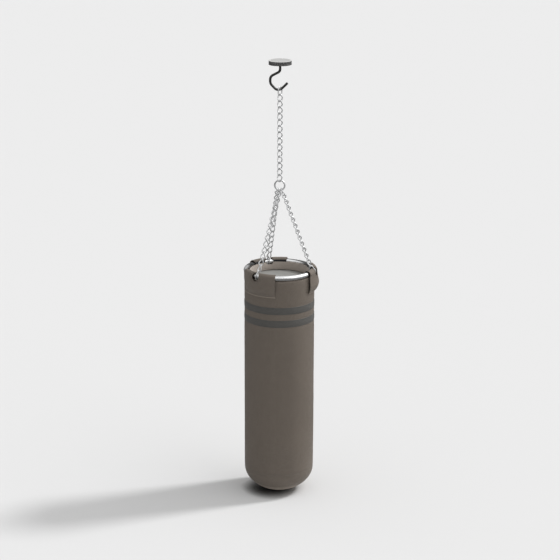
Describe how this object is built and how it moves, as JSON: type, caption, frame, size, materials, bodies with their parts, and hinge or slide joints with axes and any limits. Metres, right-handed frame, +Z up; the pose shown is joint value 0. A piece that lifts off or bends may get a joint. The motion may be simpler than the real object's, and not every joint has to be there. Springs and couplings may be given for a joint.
{
  "type": "hanging heavy bag",
  "caption": "Cylindrical punching bag that hangs by a steel rim hoop, bridle chains, ring, chain and hook from a round swivel ceiling plate.",
  "frame": {"origin": "centre of the ceiling plate's top face, where it meets the ceiling", "axes": "+Z up, out of the plate towards the ceiling, on the axis that the bag hangs on; +X from that axis towards the right-hand hanging tab; the hook's bowl lies in the XZ plane and opens towards +X"},
  "size_m": [0.3764, 0.386, 2.2715],
  "materials": {
    "pad_rubber": "matte",
    "plate_paint": "satin",
    "seal_rubber": "matte",
    "zinc_steel": "satin",
    "bearing_steel": "polished",
    "bronze": "satin",
    "hook_black": "satin",
    "chain_steel": "satin",
    "hoop_chrome": "polished",
    "bag_leather": "satin",
    "tab_leather": "satin",
    "lining_black": "matte",
    "stripe_leather": "satin",
    "collar_fabric": "matte",
    "lid_vinyl": "satin",
    "foam": "matte",
    "shredded_textile": "matte"
  },
  "bodies": {
    "ceiling_mount": {"isolation_pad": "pad_rubber", "ceiling_plate": "plate_paint", "housing_seal": "seal_rubber", "swivel_housing": "plate_paint", "housing_screws": "zinc_steel", "lower_race": "bearing_steel", "shank_bush": "bronze"},
    "bearing_cage": {"ball_cage": "bronze", "bearing_balls": "bearing_steel"},
    "hook": {"swing_hook": "hook_black", "upper_race": "bearing_steel", "swivel_nut": "zinc_steel"},
    "first_link": {"hook_link": "chain_steel"},
    "chain": {"main_chain": "chain_steel"},
    "last_link": {"ring_link": "chain_steel"},
    "bag": {"spreader_ring": "chain_steel", "bridle_chain_right": "chain_steel", "bridle_chain_rear": "chain_steel", "bridle_chain_front": "chain_steel", "end_link_right": "chain_steel", "end_link_rear": "chain_steel", "end_link_front": "chain_steel", "rim_hoop": "hoop_chrome", "tab_right": "tab_leather", "tab_rear": "tab_leather", "tab_front": "tab_leather", "tab_lining_right": "lining_black", "tab_lining_rear": "lining_black", "tab_lining_front": "lining_black", "outer_cover": "bag_leather", "bottom_panel": "bag_leather", "stripe_upper": "stripe_leather", "stripe_lower": "stripe_leather", "collar_lining": "collar_fabric", "top_lid": "lid_vinyl", "foam_liner": "foam", "filling": "shredded_textile", "bottom_pad": "foam"}
  },
  "joints": [
    {"name": "hook_swivel", "type": "hinge", "parent": "ceiling_mount", "child": "hook", "pos_m": [0, 0, -0.0107], "axis": [0, 0, 1], "continuous": true},
    {"name": "cage_roll", "type": "hinge", "parent": "ceiling_mount", "child": "bearing_cage", "pos_m": [0, 0, -0.0107], "axis": [0, 0, 1], "continuous": true},
    {"name": "first_link_swing", "type": "hinge", "parent": "hook", "child": "first_link", "pos_m": [0, 0, -0.1468], "axis": [1, 0, 0], "range_deg": [-25, 25]},
    {"name": "chain_swing", "type": "hinge", "parent": "first_link", "child": "chain", "pos_m": [0, 0, -0.1771], "axis": [0.4226, 0.9063, 0], "range_deg": [-25, 25]},
    {"name": "last_link_swing", "type": "hinge", "parent": "chain", "child": "last_link", "pos_m": [0, 0, -0.5879], "axis": [0.8192, -0.5736, 0], "range_deg": [-20, 20]},
    {"name": "ring_tilt", "type": "hinge", "parent": "last_link", "child": "bag", "pos_m": [0, 0, -0.63775], "axis": [0, 1, 0], "range_deg": [-18, 18]}
  ],
  "couplings": [
    {"joint": "cage_roll", "follows": "hook_swivel", "ratio": 0.5}
  ]
}
